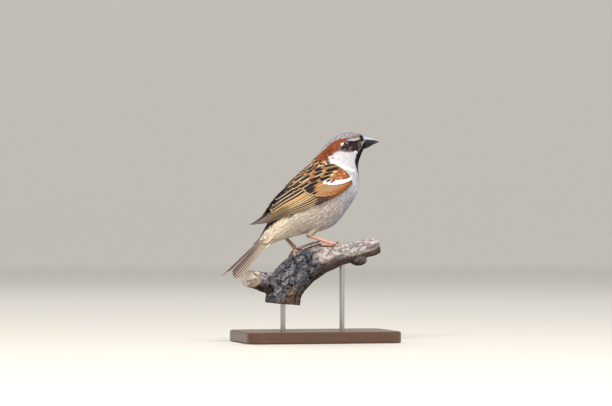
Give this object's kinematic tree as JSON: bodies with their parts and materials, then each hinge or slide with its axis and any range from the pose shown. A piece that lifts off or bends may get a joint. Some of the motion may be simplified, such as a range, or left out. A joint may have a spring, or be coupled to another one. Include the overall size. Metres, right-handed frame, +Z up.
{
  "type": "perched house sparrow model",
  "caption": "Life-size still model of an adult male house sparrow perched on a cut branch, on a small display stand with a flat base.",
  "frame": {"origin": "middle of the underside of the stand's base", "axes": "+X the way the bird faces, +Y the bird's left, +Z up"},
  "size_m": [0.1242, 0.07, 0.1468],
  "materials": {
    "crown_plumage": "short soft feathers",
    "nape_plumage": "short soft feathers",
    "body_plumage": "soft downy feathers",
    "wing_feathers": "firm overlapping feathers",
    "tail_feathers": "firm overlapping feathers",
    "eye": "wet gloss",
    "bill_horn": "satin horn",
    "leg_skin": "scaled skin, matt",
    "claw_horn": "satin horn",
    "bark": "rough weathered bark",
    "stand_wood": "stained and satin varnished",
    "stand_steel": "brushed"
  },
  "bodies": {
    "root": {"head": "crown_plumage", "neck": "nape_plumage", "trunk": "body_plumage", "bill_upper": "bill_horn", "bill_lower": "bill_horn", "tail": "tail_feathers", "eye_right": "eye", "wing_right": "wing_feathers", "thigh_right": "body_plumage", "shank_right": "leg_skin", "toe_right_middle": "leg_skin", "claw_right_middle": "claw_horn", "toe_right_outer": "leg_skin", "claw_right_outer": "claw_horn", "toe_right_inner": "leg_skin", "claw_right_inner": "claw_horn", "toe_right_hind": "leg_skin", "claw_right_hind": "claw_horn", "eye_left": "eye", "wing_left": "wing_feathers", "thigh_left": "body_plumage", "shank_left": "leg_skin", "toe_left_middle": "leg_skin", "claw_left_middle": "claw_horn", "toe_left_outer": "leg_skin", "claw_left_outer": "claw_horn", "toe_left_inner": "leg_skin", "claw_left_inner": "claw_horn", "toe_left_hind": "leg_skin", "claw_left_hind": "claw_horn", "perch": "bark", "stand_base": "stand_wood", "stand_rod_1": "stand_steel", "stand_rod_2": "stand_steel"}
  },
  "joints": []
}
